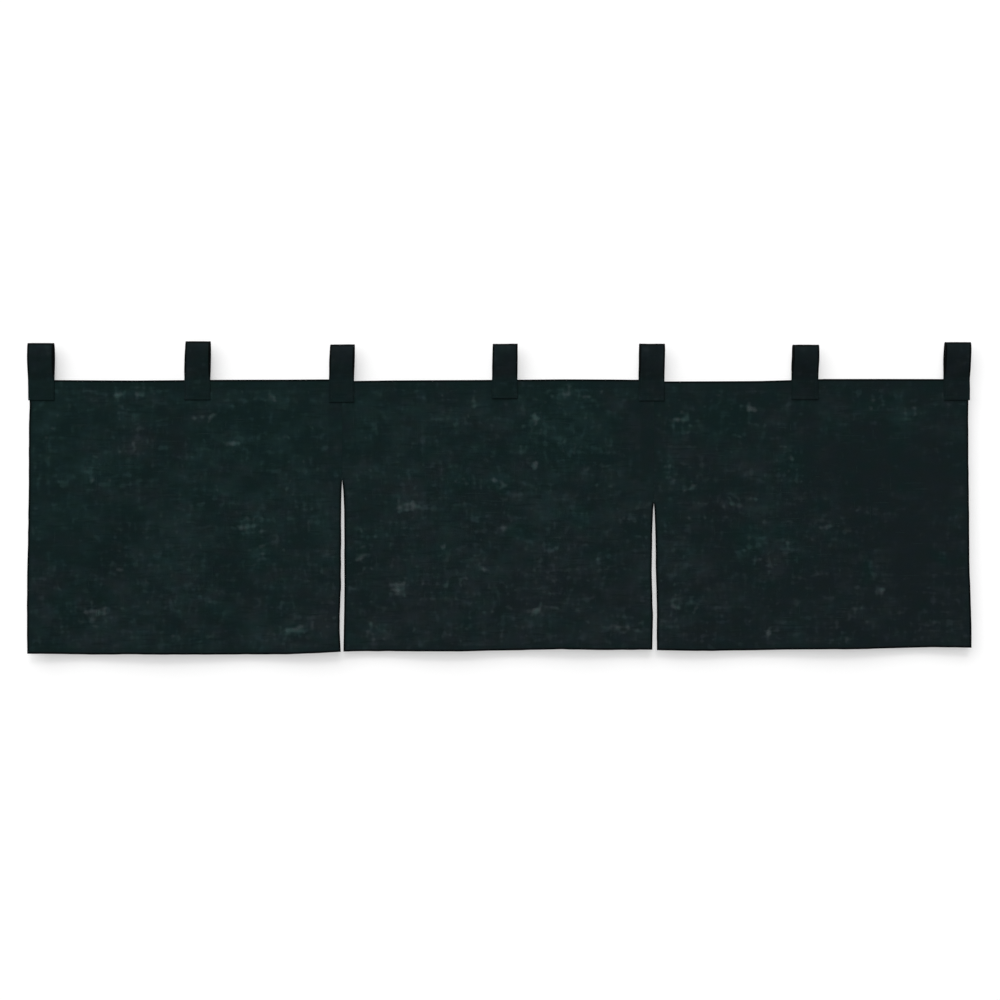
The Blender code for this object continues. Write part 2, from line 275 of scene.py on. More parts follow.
# Places where the weave is thinner, and so lighter, or closer, and so darker, and where the dye is
# greener or greyer than around it: their middle from the middle of the pole's line and half their
# width and height, mm; 1 for thinnest or greenest and -1 for closest or greyest
Place = namedtuple("Place", "x z wide tall thin green")
PLACES = (
    Place(-524, -72, 6, 28, 0.8, 0.2),
    Place(-492, -53, 14, 10, 1.0, 0.5),
    Place(-508, -137, 18, 9, 0.5, -0.6),
    Place(-495, -118, 30, 12, 0.1, -0.6),
    Place(-406, -92, 18, 9, 0.7, -0.3),
    Place(-319, -64, 16, 10, 0.6, 0.6),
    Place(-364, -130, 16, 6, 0.9, 0.0),
    Place(-275, -89, 14, 10, 0.4, 0.3),
    Place(-327, -118, 60, 45, 0.0, 0.8),
    Place(-616, -110, 32, 55, 0.1, 0.7),
    Place(-561, -165, 25, 18, 0.4, 0.8),
    Place(-396, -194, 14, 10, 0.5, 0.8),
    Place(-344, -242, 20, 12, 1.0, 0.8),
    Place(-330, -278, 12, 22, 0.3, 1.0),
    Place(-289, -192, 12, 14, 0.5, -0.2),
    Place(-258, -227, 20, 15, 0.0, 0.6),
    Place(-589, -227, 24, 22, 0.0, 0.6),
    Place(-526, -296, 12, 22, 0.4, -0.3),
    Place(-557, -363, 20, 14, 1.0, -0.4),
    Place(-607, -373, 12, 8, 0.6, 0.0),
    Place(-596, -352, 14, 22, 0.1, 0.7),
    Place(-439, -394, 12, 7, 0.7, 0.0),
    Place(-389, -354, 20, 12, 0.1, 0.6),
    Place(-313, -285, 20, 12, 0.4, 0.2),
    Place(-278, -384, 22, 9, 0.9, 0.8),
    Place(-450, -345, 11, 9, 0.5, -0.2),
    Place(-488, -320, 8, 8, 0.6, -0.2),
    Place(-240, -368, 24, 30, 0.2, -0.5),
    Place(-630, -333, 22, 20, -0.1, -0.6),
    Place(-344, -186, 22, 16, -0.9, 0.0),
    Place(-596, -282, 28, 24, -0.8, 0.0),
    Place(-380, -300, 18, 14, -0.8, 0.0),
    Place(-447, -110, 15, 36, -0.7, -0.3),
    Place(-516, -222, 24, 12, -0.8, 0.0),
    Place(-590, -150, 20, 12, -0.5, 0.0),
    Place(-34, -74, 13, 10, 0.8, 0.0),
    Place(48, -96, 13, 18, 0.8, 0.5),
    Place(100, -110, 55, 55, 0.1, 0.8),
    Place(50, -158, 7, 6, 0.9, 0.0),
    Place(88, -60, 34, 12, 0.5, 0.5),
    Place(95, -135, 20, 14, 0.4, 0.3),
    Place(-28, -182, 30, 10, 0.5, 0.2),
    Place(-54, -179, 20, 13, 0.2, 0.8),
    Place(4, -185, 13, 12, 0.4, 0.8),
    Place(-185, -103, 28, 18, 0.1, 0.6),
    Place(-127, -216, 26, 12, 0.9, 0.0),
    Place(-120, -190, 34, 15, 0.0, -0.5),
    Place(-190, -282, 9, 26, 0.7, 0.0),
    Place(10, -236, 11, 12, 0.5, -0.2),
    Place(28, -250, 20, 12, 0.1, 0.7),
    Place(114, -230, 13, 13, 0.5, 0.9),
    Place(-76, -272, 9, 8, 0.7, 0.4),
    Place(-138, -330, 9, 13, 1.0, 0.2),
    Place(-127, -351, 40, 22, 0.0, -0.5),
    Place(-54, -312, 9, 9, 0.6, 0.1),
    Place(52, -358, 13, 8, 1.0, -0.2),
    Place(-24, -298, 12, 8, 0.5, 0.0),
    Place(74, -274, 11, 8, 0.5, 0.2),
    Place(161, -286, 14, 8, 0.6, 0.2),
    Place(164, -384, 26, 9, 0.9, -0.2),
    Place(196, -374, 8, 8, 0.6, 0.0),
    Place(80, -316, 70, 40, 0.1, -0.3),
    Place(-60, -340, 120, 80, 0.13, -0.1),
    Place(-178, -389, 16, 14, 0.6, 0.1),
    Place(-196, -402, 20, 9, 0.1, 0.6),
    Place(-40, -120, 20, 13, -0.9, 0.0),
    Place(204, -130, 14, 40, -0.8, -0.1),
    Place(173, -323, 22, 14, -0.7, -0.4),
    Place(-110, -264, 12, 12, -0.5, 0.0),
    Place(249, -96, 13, 18, 0.9, 0.7),
    Place(304, -100, 30, 24, 0.2, 0.8),
    Place(231, -165, 9, 13, 0.7, 0.8),
    Place(345, -81, 11, 10, 0.8, 0.1),
    Place(272, -151, 22, 12, 0.0, -0.7),
    Place(400, -158, 22, 20, 0.4, 0.6),
    Place(518, -75, 24, 17, 0.5, 0.6),
    Place(566, -85, 20, 13, 0.5, 0.5),
    Place(332, -213, 32, 11, 0.7, 0.0),
    Place(293, -216, 26, 15, 0.2, -0.5),
    Place(260, -188, 12, 9, 0.6, 0.0),
    Place(492, -219, 11, 6, 0.9, -0.2),
    Place(494, -198, 8, 6, 0.6, 0.0),
    Place(459, -239, 17, 9, 0.8, -0.1),
    Place(532, -230, 15, 12, 0.7, -0.2),
    Place(397, -270, 9, 7, 0.9, 0.1),
    Place(387, -248, 13, 13, 0.1, 0.6),
    Place(349, -268, 24, 24, 0.3, 0.6),
    Place(380, -292, 14, 12, 0.5, -0.9),
    Place(283, -316, 25, 14, 0.0, -0.8),
    Place(241, -348, 8, 24, 1.0, 0.0),
    Place(266, -352, 11, 11, 0.7, 0.0),
    Place(525, -332, 16, 7, 1.0, -0.2),
    Place(507, -299, 8, 18, 0.5, 0.9),
    Place(607, -285, 12, 10, 0.5, 0.8),
    Place(583, -325, 14, 12, 0.5, -0.9),
    Place(598, -377, 19, 7, 0.8, 0.0),
    Place(490, -361, 11, 12, 0.6, 0.1),
    Place(476, -316, 20, 12, 0.1, -0.7),
    Place(373, -392, 10, 9, 0.8, 0.1),
    Place(486, -396, 11, 8, 0.6, 0.2),
    Place(283, -385, 22, 12, 0.2, -0.7),
    Place(476, -160, 38, 26, -1.0, -0.3),
    Place(575, -275, 46, 30, -1.0, -0.4),
    Place(610, -175, 30, 60, -0.7, -0.3),
    Place(428, -107, 13, 28, -0.8, -0.2),
    Place(535, -135, 80, 40, -0.6, 0.1),
    Place(545, -215, 80, 60, -0.5, -0.2),
    Place(320, -178, 24, 16, -0.6, 0.0),
    Place(313, -262, 18, 22, -0.6, 0.0),
    Place(560, -350, 90, 60, -0.2, -0.2),
    Place(-222, -85, 30, 34, -0.5, -0.2),
    Place(188, -100, 34, 44, -0.4, -0.2),
    Place(405, -78, 26, 26, -0.5, -0.2),
    Place(8, -78, 24, 20, -0.4, -0.1),
)

# The cloth's colours and its weave

TEAL_DYE = (0.0057, 0.0157, 0.0156)
SLATE_DYE = (0.0089, 0.0140, 0.0159)
GREEN_LIGHT = (0.110, 0.190, 0.180)  # where light from behind shows between the yarns
GREY_LIGHT = (0.155, 0.185, 0.195)
SEWING_COLOUR = (0.0066, 0.0155, 0.0160)
SLUB_COLOUR = (0.0085, 0.0185, 0.0188)
THREAD_CELLS = (900.0, 60.0)  # how many places a metre where a thread is light or dark: fine and slow
YARN_PITCH = (0.90, 0.96)  # mm, of the warp across and of the weft down

# Unevenness of the weave: how wide and tall its places are, mm, where it is drawn from and how fine
Draw = namedtuple("Draw", "across down level detail rough")
SWAY = Draw(60.0, 60.0, 1.0, 0.0, 0.5)  # the yarns' own lines
DIP = Draw(60.0, 60.0, 5.0, 0.0, 0.5)
WEFT_RUN = Draw(9.0, 2.2, 21.0, 2.0, 0.55)  # runs of thick or thin yarn
WARP_RUN = Draw(2.2, 9.0, 33.0, 2.0, 0.55)
WEFT_BAND = Draw(17.0, 6.5, 27.0, 0.0, 0.5)
WARP_BAND = Draw(6.5, 16.0, 37.0, 0.0, 0.5)
PATCH = Draw(13.0, 11.0, 41.0, 3.0, 0.55)
WIDE_PATCH = Draw(32.0, 26.0, 47.0, 1.0, 0.5)
SLOW = Draw(80.0, 62.0, 55.0, 1.0, 0.5)
DAPPLE = Draw(8.0, 7.0, 59.0, 0.0, 0.5)
CLOSE_RUN = Draw(24.0, 3.2, 61.0, 0.0, 0.5)  # where the weft is beaten close
CLOSE_PLACE = Draw(30.0, 18.0, 65.0, 0.0, 0.5)
WEFT_GAP = Draw(15.0, 6.5, 71.0, 0.0, 0.5)  # where light shows between the yarns
WARP_GAP = Draw(6.5, 14.0, 83.0, 0.0, 0.5)
GAP_TINT = Draw(14.0, 11.0, 87.0, 0.0, 0.5)
HUE = Draw(36.0, 30.0, 91.0, 1.0, 0.5)
FINE_HUE = Draw(13.0, 11.0, 95.0, 1.0, 0.5)
BLUE = Draw(17.0, 14.0, 99.0, 1.0, 0.5)
BUSY_WIDE = Draw(54.0, 40.0, 103.0, 1.0, 0.5)  # where the fine unevenness is strong
BUSY_NEAR = Draw(19.0, 15.0, 107.0, 0.0, 0.5)

# How much each lightens or darkens the cloth: the fine ones vary from place to place
FINE_TONES = ((WEFT_RUN, 0.42), (WARP_RUN, 0.36), (WEFT_BAND, 0.44), (WARP_BAND, 0.44), (PATCH, 0.50))
SLOW_TONES = ((WIDE_PATCH, 0.85), (SLOW, 0.80))
MEAN_TONE = 0.995
DARKEST_TONE = 0.78
YARN_TONE = 0.26  # of a thick yarn on top
CROSSED_TONE = 0.38  # where runs of thick warp and weft cross
CLOSE_TONE = -0.22  # where the weft is beaten close
THIN_TONE = 0.12  # the thin places that are listed
THICK_TONE = 0.07  # and the close ones, over and above
LAYERS_TONE = -0.14
LOOPED_TONE = -0.02
RIGHT_TONE = -0.10
RIGHT_FROM = (0.16, 0.40)  # where it starts along the curtain and where it is full
# how much the painted shade along the edges and the leaves' ends darkens the cloth
PAINTED_SHADE_TONE = -0.84
RED_OVER_GREEN = 1.34  # lighter places are greyer too, as more of their light comes off the yarns
BLUE_TONE = 0.30
BUSY_SHARES = (0.30, 1.30)  # of the fine unevenness, in the calmest and in the busiest places
CALM_WHERE_CLOSE = 0.5
CALM_IN_LAYERS = -0.30

# Where light shows between the yarns: how much each opens the weave, and how open it has to be
THIN_OPENS = 0.30
PATCH_OPENS = 0.14
WIDE_PATCH_OPENS = 0.16
LAYERS_OPEN = -0.07
RUNS_OPEN = 0.62  # of the warp and of the weft, where both are thin
THIN_OPENS_RUNS = 0.14
LIGHT_SHOWS = (0.17, 0.70)  # from the first, and in full at the second
LIGHT_ON_YARNS = 0.08  # share of it that shows on the yarns' middles as well

# How much each makes the dye greyer, or greener where less than 0
ACROSS_HUE = 0.60  # a metre, to the right
UP_HUE = -1.5
GREEN_HUE = -1.5  # the greener places that are listed
LOOPED_HUE = 0.9
HUES = ((HUE, 2.6), (FINE_HUE, 1.0))

# The room

FRAME_WIDTH = 1.3786  # what the picture takes in at the curtain
FRAME_MIDDLE = (0.0009, -0.2062)
CAMERA_DISTANCE = 4.0
SENSOR_WIDTH = 36.0
FLOOR_HEIGHT = -1.05
FLOOR_REACH = 60.0
WALL_BEHIND = 0.022
WALL_REACH = 1.9
WALL_TOP = 1.6
WHITE = (1.0, 1.0, 1.0)
FLOOR_COLOUR = (0.80, 0.80, 0.79)
WALL_COLOUR = (0.60, 0.60, 0.60)
WALL_GLOW = 0.46
SKY_LIGHT = 0.18
SKY_SEEN = 0.90  # how bright it is to the camera itself

Lamp = namedtuple("Lamp", "name towards spread strength")  # where it stands, and its width in degrees
LAMPS = (
    Lamp("key_light", (-0.32, -1.0, 0.51), 60, 2.36),
    Lamp("front_light", (0.0, -1.0, 0.58), 12, 0.45),  # reaches the wall through the slits
    Lamp("top_light", (-0.1, -0.2, 1.0), 50, 0.7),
    Lamp("back_light", (-0.5, 1.0, 0.6), 60, 2.3),
)


# Shapes worked out from the tables


def ease(value, start, end):
    """0 before start, 1 past end, and a smooth step between them."""
    share = np.clip((value - start) / (end - start), 0.0, 1.0)
    return share * share * (3 - 2 * share)


def read_table(rows, column, at):
    """The column's values, in metres, at places between the rows, whose first column holds them."""
    places = [row[0] for row in rows]
    values = [getattr(row, column) * MM for row in rows]
    return np.interp(at, places, values)


def soft_noise(x, y, seed):
    """Smooth uneven values from -1 to 1, over cells one unit wide."""
    lattice = np.random.default_rng(seed).uniform(-1.0, 1.0, (NOISE_CELLS, NOISE_CELLS))
    column = np.floor(x).astype(int)
    row = np.floor(y).astype(int)
    across = ease(x - column, 0.0, 1.0)
    down = ease(y - row, 0.0, 1.0)

    def corner(right, below):
        return lattice[(column + right) % NOISE_CELLS, (row + below) % NOISE_CELLS]

    near = corner(0, 0) * (1 - across) + corner(1, 0) * across
    far = corner(0, 1) * (1 - across) + corner(1, 1) * across
    return near * (1 - down) + far * down


def seam_x(slit):
    return slit.sixth * WIDTH / 6 + slit.shift * MM


def slit_x(slit, side, down):
    """Where the panel on this side of the slit ends: at the seam, then parted from it."""
    parted = read_table((SlitEdge(slit.opens, 0.0, 0.0),) + slit.edges, side, down)
    return seam_x(slit) + (parted if side == "right" else -parted)


def left_x(panel, down):
    if isinstance(panel.left, Slit):
        return slit_x(panel.left, "right", down)
    return -WIDTH / 2 - read_table(panel.left, "out", down)


def right_x(panel, down):
    if isinstance(panel.right, Slit):
        return slit_x(panel.right, "left", down)
    return WIDTH / 2 + read_table(panel.right, "out", down)


def tab_x(tab):
    return tab.sixth * WIDTH / 6 + tab.shift * MM


def beside_straps(x):
    """How far from the side of the nearest strap."""
    return np.minimum.reduce([abs(x - tab_x(tab)) - tab.width_base * MM / 2 for tab in TABS])


def held(x, down):
    """What share of a fold shows here: none where a strap holds the cloth, all where it hangs free."""
    between = ease(beside_straps(x), HELD_BESIDE_STRAP, FREE_BESIDE_STRAP)
    free = ease(down, HELD_DOWN_TO, FREE_FROM)
    return free + (1 - free) * HEADING_SHARE * between


def fold_forward(x, down):
    """How far the folds bring the cloth forward, which is the same on both sides of a sewn seam."""
    forward = 0.0
    for fold in FOLDS:
        middle = (fold.top + (fold.hem - fold.top) * down) * MM
        forward = forward + fold.bulge * MM * np.exp(-(((x - middle) / (fold.half_width * MM)) ** 2))
    return forward * held(x, down)


def swing_forward(slit, swing, x, down):
    """How far a slit's free edge stands forward of the folds."""
    near = np.exp(-(((x - seam_x(slit)) / SLIT_SWING_REACH) ** 2))
    return swing * MM * near * ease(down, slit.opens, 1.0)


# The panels' cloth

Margins = namedtuple("Margins", "left right top hem")


def margins(panel, across, down):
    """How far in from each edge of the panel."""
    width = right_x(panel, down) - left_x(panel, down)
    return Margins(across * width, (1 - across) * width, down * CLOTH_HEIGHT, (1 - down) * CLOTH_HEIGHT)


def sewn(edge, down):
    """1 where this side of a panel is seamed to the next one, 0 where it is a free hem."""
    if isinstance(edge, Slit):
        return 1 - ease(down, edge.opens - 0.01, edge.opens + 0.01)
    return np.zeros_like(down)


def turned_in(margin, width):
    return 1 - ease(margin, width - LEDGE / 2, width + LEDGE / 2)


def layers_behind(panel, across, down):
    """How many layers are turned in behind the cloth: two in a hem, one beside a seam."""
    at = margins(panel, across, down)
    layers = [2 * turned_in(at.top, TOP_HEM), 2 * turned_in(at.hem, BOTTOM_HEM)]
    for margin, edge in ((at.left, panel.left), (at.right, panel.right)):
        seamed = sewn(edge, down)
        layers.append(seamed * turned_in(margin, SEAM_ALLOWANCE))
        layers.append((1 - seamed) * 2 * turned_in(margin, SIDE_HEM))
    return np.maximum.reduce(layers)


def sewing_depth(panel, across, down):
    """How deep the rows of sewing draw the cloth in."""
    at = margins(panel, across, down)
    rows = [(at.top - TOP_ROW, 1.0), (at.hem - BOTTOM_ROW, 1.0)]
    for margin, edge in ((at.left, panel.left), (at.right, panel.right)):
        rows.append((margin - SIDE_ROW, 1 - sewn(edge, down)))
    beds = [share * np.exp(-((away / STITCH_BED_REACH) ** 2)) for away, share in rows]
    return STITCH_BED * np.maximum.reduce(np.broadcast_arrays(*beds))


def puckers(panel, across, down, x, z):
    """How the rows of sewing ripple the cloth beside them."""
    at = margins(panel, across, down)
    forward = 0.0
    for number, (margin, row, along) in enumerate(
        ((at.left, SIDE_ROW, z), (at.right, SIDE_ROW, z), (at.top, TOP_ROW, x), (at.hem, BOTTOM_ROW, x))
    ):
        near = np.exp(-(((margin - row) / PUCKER_REACH) ** 2))
        forward = forward + near * soft_noise(along / PUCKER_CELL, margin * 0, panel.seed * 10 + number)
    return PUCKER * forward * ease(beside_straps(x), 0.0, 0.012)


def cockles(x, z):
    """The cloth's own slight waviness, alike on both sides of a seam and none under the straps."""
    forward = 0.0
    for number, (wide, tall, share) in enumerate(COCKLE_CELLS):
        forward = forward + share * soft_noise(x / wide, z / tall, 50 + number)
    below = ease(-z - HEADING_DROP, 0.028, 0.060)
    clear = np.maximum(ease(beside_straps(x), 0.0, 0.020), below)
    return COCKLE * forward * clear


def strap_pulls(x, z):
    """The short creases that run down and out from the corners of each strap's front leaf."""
    forward = 0.0
    for tab in TABS:
        below = -z - HEADING_DROP - tab.lap * MM
        for side in (-1, 1):
            corner = tab_x(tab) + side * tab.width_base * MM / 2
            away = (x - corner) - side * PULL_SLANT * below
            fade = ease(below, -0.002, 0.008) * np.exp(-((np.maximum(below, 0) / PULL_REACH) ** 2))
            forward = forward + fade * np.exp(-((away / PULL_HALF_WIDTH) ** 2))
    return PULL * forward


def rounded(margin):
    """The share of its thickness that a sheet has this far in from an edge."""
    inward = np.clip(1 - margin / EDGE_RADIUS, 0.0, 1.0)
    return EDGE_SHARE + (1 - EDGE_SHARE) * np.sqrt(1 - inward**2)


# painted shade along an edge: 1 at the edge, fading out further in
def edge_shade(margin):
    return 1 - ease(margin, *EDGE_SHADE_WIDTH)


def painted_shade_marks(panel, across, down, points):
    """Painted shade: 1 along the free edges, and a share of it as a painted shadow along the ends of the
    straps' leaves.
    """
    at = margins(panel, across, down)
    shaded = [edge_shade(at.top), edge_shade(at.hem)]
    for margin, edge in ((at.left, panel.left), (at.right, panel.right)):
        shaded.append(edge_shade(margin) * (1 - sewn(edge, down)))
    # a painted shadow on the cloth along the end of each strap's front leaf
    for tab in TABS:
        below = -points[..., 2] - HEADING_DROP - tab.lap * MM
        beside = abs(points[..., 0] - tab_x(tab) - tab.lean * MM) - tab.width_base * MM / 2
        fade = np.exp(-((below / LEAF_SHADOW_REACH) ** 2)) * (1 - ease(beside, -0.001, 0.001))
        shaded.append(LEAF_SHADOW_SHARE * fade)
    return np.maximum.reduce(np.broadcast_arrays(*shaded))


def edge_waver(panel, at, x, z):
    """How far the outer and slit edges waver sideways and the hem up and down."""
    left = np.exp(-at.left / EDGE_WAVER_REACH) * soft_noise(z / EDGE_WAVER_CELL, z * 0, panel.seed + 100)
    right = np.exp(-at.right / EDGE_WAVER_REACH) * soft_noise(z / EDGE_WAVER_CELL, z * 0, panel.seed + 200)
    low = np.exp(-at.hem / EDGE_WAVER_REACH) * soft_noise(x / EDGE_WAVER_CELL, x * 0, panel.seed + 300)
    return EDGE_WAVER * left, EDGE_WAVER * right, EDGE_WAVER * low


def cloth_face(panel, across, down, face):
    """Points of the panel's front or back face, from shares of its width and of its height."""
    top = -HEADING_DROP + read_table(panel.ends, "top", across)
    hem = -HEADING_DROP - CLOTH_HEIGHT + read_table(panel.ends, "hem", across)
    x = left_x(panel, down) + (right_x(panel, down) - left_x(panel, down)) * across
    z = top + (hem - top) * down
    at = margins(panel, across, down)
    forward = fold_forward(x, down) + puckers(panel, across, down, x, z) + cockles(x, z) + strap_pulls(x, z)
    if isinstance(panel.left, Slit):
        forward = forward + swing_forward(panel.left, panel.left.right_swing, x, down)
    if isinstance(panel.right, Slit):
        forward = forward + swing_forward(panel.right, panel.right.left_swing, x, down)
    layers = layers_behind(panel, across, down)
    per_layer = BEFORE_PER_LAYER if face == "front" else BEHIND_PER_LAYER
    half = CLOTH_THICKNESS / 2 + per_layer * layers - sewing_depth(panel, across, down)
    half = half * rounded(np.minimum.reduce(np.broadcast_arrays(*at)))
    wavered = edge_waver(panel, at, x, z)
    x = x + wavered[0] * (1 - sewn(panel.left, down)) + wavered[1] * (1 - sewn(panel.right, down))
    z = z + wavered[2]
    return np.stack(np.broadcast_arrays(x, -forward + (-half if face == "front" else half), z), axis=-1)


def read_places(points, column):
    """How thin the weave or how green the dye is at these points, from -1 to 1."""
    total = 0.0
    for place in PLACES:
        beside = (points[..., 0] - place.x * MM) / (place.wide * MM)
        above = (points[..., 2] - place.z * MM) / (place.tall * MM)
        total = total + getattr(place, column) * np.exp(-(beside**2) - above**2)
    return np.clip(total, -1.0, 1.0)


def stations(length, low_stations, high_stations, step):
    """Shares of a length, set close together near both ends and evenly between."""
    low = np.array(low_stations)
    high = length - np.array(high_stations)[::-1]
    between = round((high[0] - low[-1]) / step)
    return np.concatenate([low[:-1], np.linspace(low[-1], high[0], between + 1), high[1:]]) / length


def quads_between(first, second, third, fourth):
    return np.stack([first, second, third, fourth], axis=-1).reshape(-1, 4)


def closed_sheet(name, front, back, weave_place, marks):
    """A closed mesh from matching grids of points on its front and its back face."""
    rows, columns = front.shape[:2]
    index = np.arange(rows * columns).reshape(rows, columns)
    behind = index + rows * columns
    faces = [
        quads_between(index[:-1, :-1], index[1:, :-1], index[1:, 1:], index[:-1, 1:]),
        quads_between(behind[:-1, :-1], behind[:-1, 1:], behind[1:, 1:], behind[1:, :-1]),
        quads_between(index[0, :-1], index[0, 1:], behind[0, 1:], behind[0, :-1]),
        quads_between(index[-1, :-1], behind[-1, :-1], behind[-1, 1:], index[-1, 1:]),
        quads_between(index[:-1, 0], behind[:-1, 0], behind[1:, 0], index[1:, 0]),
        quads_between(index[:-1, -1], index[1:, -1], behind[1:, -1], behind[:-1, -1]),
    ]
    faces = np.concatenate(faces)
    points = np.concatenate([front.reshape(-1, 3), back.reshape(-1, 3)])
    mesh = bpy.data.meshes.new(name)
    mesh.from_pydata(points.tolist(), [], faces.tolist())
    layer = mesh.uv_layers.new(name="weave")
    both = np.concatenate([weave_place.reshape(-1, 2)] * 2)
    layer.uv.foreach_set("vector", both[faces.reshape(-1)].astype(np.float32).reshape(-1))
    for mark, values in marks.items():
        attribute = mesh.attributes.new(mark, "FLOAT", "POINT")
        attribute.data.foreach_set("value", np.concatenate([values.reshape(-1)] * 2).astype(np.float32))
    mesh.shade_smooth()
    obj = bpy.data.objects.new(name, mesh)
    bpy.context.scene.collection.objects.link(obj)
    return obj


def make_panel_cloth(panel):
    """The panel's cloth, with its turned hems and seam allowances."""
    width = float(right_x(panel, 0.0) - left_x(panel, 0.0))
    sides = []
    for edge in (panel.left, panel.right):
        sides.append(EDGE_STATIONS + OVER_ALLOWANCE if isinstance(edge, Slit) else EDGE_STATIONS)
    across = stations(width, *sides, CLOTH_STEP)
    down = stations(CLOTH_HEIGHT, EDGE_STATIONS + OVER_TOP_HEM, EDGE_STATIONS, CLOTH_STEP)
    down, across = np.meshgrid(down, across, indexing="ij")
    front = cloth_face(panel, across, down, "front")
    back = cloth_face(panel, across, down, "back")
    place = np.stack([front[..., 0] + panel.weave_shift, front[..., 2]], axis=-1)
    marks = {column: read_places(front, column) for column in ("thin", "green")}
    marks["layers"] = layers_behind(panel, across, down) / 2
    marks["painted_shade"] = painted_shade_marks(panel, across, down, front)
    return closed_sheet(panel.name + "_cloth", front, back, place, marks)


# The straps


def heading_above(low_x, high_x):
    """The highest point of the cloth's top edge between two places along the curtain."""
    heights = []
    for panel in PANELS:
        left = left_x(panel, 0.0)
        right = right_x(panel, 0.0)
        if high_x > left and low_x < right:
            for x in (max(low_x, left), min(high_x, right)):
                across = (x - left) / (right - left)
                heights.append(-HEADING_DROP + read_table(panel.ends, "top", across))
    return float(max(heights))


def strap_path(tab):
    """(forward, height, length) along a strap's middle, from its front leaf's end over to the back's."""
    front_lap = CLOTH_THICKNESS / 2 + 2 * BEFORE_PER_LAYER + STRAP_EASE + STRAP_THICKNESS / 2
    back_lap = CLOTH_THICKNESS / 2 + 2 * BEHIND_PER_LAYER + STRAP_EASE + STRAP_THICKNESS / 2
    half_width = tab.width_base * MM / 2
    closes = heading_above(tab_x(tab) - half_width, tab_x(tab) + half_width)
    top = LOOP_RISE + tab.higher * MM - STRAP_THICKNESS / 2
    leaf_end = -HEADING_DROP - tab.lap * MM
    widest = LOOP_BLUNTNESS / (LOOP_BLUNTNESS + LOOP_TAPER)
    reach = widest**LOOP_BLUNTNESS * (1 - widest) ** LOOP_TAPER
    below = (1 - np.linspace(0.0, 1.0, 80)) ** 2
    height = np.concatenate([np.linspace(leaf_end, closes, 40)[:-1], top - (top - closes) * below])
    below = np.clip((top - height) / (top - closes), 0.0, 1.0)
    sides = []
    for lapped in (front_lap, back_lap):
        bulge = ((LOOP_DEPTH - STRAP_THICKNESS) / 2 - lapped * widest) / reach
        sides.append(lapped * below + bulge * below**LOOP_BLUNTNESS * (1 - below) ** LOOP_TAPER)
    forward = np.concatenate([sides[0], -sides[1][-2::-1]])
    height = np.concatenate([height, height[-2::-1]])
    length = np.concatenate([[0.0], np.cumsum(np.hypot(np.diff(forward), np.diff(height)))])
    return forward, height, length


def along_strap(path, at):
    """(forward, height) of a strap's middle this far along it, and which way is out from there."""
    forward_path, height_path, length_path = path
    forward = np.interp(at, length_path, forward_path)
    height = np.interp(at, length_path, height_path)
    before, after = at - STRAP_STEP / 2, at + STRAP_STEP / 2
    run_forward = np.interp(after, length_path, forward_path) - np.interp(before, length_path, forward_path)
    run_height = np.interp(after, length_path, height_path) - np.interp(before, length_path, height_path)
    run = np.hypot(run_forward, run_height)
    return forward, height, run_height / run, -run_forward / run


def strap_face(tab, from_left_share, along, face):
    """Points of a strap's outer or inner face, from shares of its width and of its length."""
    path = strap_path(tab)
    total = path[2][-1]
    at = along * total
    forward, height, out_forward, out_height = along_strap(path, at)
    top = LOOP_RISE + tab.higher * MM
    down = np.clip((top - height) / (top + HEADING_DROP), 0.0, 1.0)
    width = (tab.width_top + (tab.width_base - tab.width_top) * down) * MM
    seed = abs(round(tab_x(tab) * 1000))
    waver = EDGE_WAVER * soft_noise(at / EDGE_WAVER_CELL, from_left_share * 1.5, seed + 7)
    x = tab_x(tab) + tab.lean * MM * down + (from_left_share - 0.5) * width + waver
    from_side = np.minimum(from_left_share, 1 - from_left_share) * width
    from_end = np.minimum(at, total - at)
    drop = -HEADING_DROP - height
    rows = [from_side - STRAP_SIDE_ROW] + [drop - row for row in LAP_ROWS]
    beds = [np.exp(-((away / STITCH_BED_REACH) ** 2)) for away in rows]
    half = STRAP_THICKNESS / 2 - STITCH_BED * np.maximum.reduce(np.broadcast_arrays(*beds))
    uneven = soft_noise(x / STRAP_UNEVEN_CELL[0], at / STRAP_UNEVEN_CELL[1], seed + 9)
    half = (half + STRAP_UNEVEN * uneven) * rounded(np.minimum(from_side, from_end))
    half = half if face == "outer" else -half
    sag = STRAP_SAG * soft_noise(from_left_share * 2.3, at / STRAP_SAG_CELL, seed + 8)
    sag = sag * (1 - ease(drop, -0.010, 0.0))
    y = -(forward + (half + sag) * out_forward)
    z = height + (half + sag * 0.5) * out_height
    return np.stack(np.broadcast_arrays(x, y, z), axis=-1)


def make_strap(tab):
    """A strap of doubled cloth, looped over the pole's line with a leaf on each side of the cloth."""
    total = strap_path(tab)[2][-1]
    width = tab.width_base * MM
    across = stations(width, EDGE_STATIONS[:-2], EDGE_STATIONS[:-2], STRAP_STEP)
    along = stations(total, EDGE_STATIONS[:5], EDGE_STATIONS[:5], STRAP_STEP)
    # from the front leaf's end up over the top: rows run upwards in front, so columns run leftwards
    along, across = np.meshgrid(along, across[::-1], indexing="ij")
    outer = strap_face(tab, across, along, "outer")
    inner = strap_face(tab, across, along, "inner")
    place = np.stack([outer[..., 0] + 6.0, along * total], axis=-1)
    looped = 1 - ease(-HEADING_DROP - outer[..., 2], -0.014, 0.004)
    from_side = np.minimum(across, 1 - across) * width
    from_end = np.minimum(along, 1 - along) * total
    from_top = LOOP_RISE + tab.higher * MM - outer[..., 2]
    # painted shade along the strap's sides and ends, mostly on the loop, and along the loop's top
    painted_shade = edge_shade(np.minimum(from_side, from_end)) * (EDGE_SHADE_ON_LAP + (1 - EDGE_SHADE_ON_LAP) * looped)
    marks = {"looped": looped, "painted_shade": np.maximum(painted_shade, edge_shade(from_top))}
    return closed_sheet(tab.name + "_strap", outer, inner, place, marks)


# Threads on the cloth


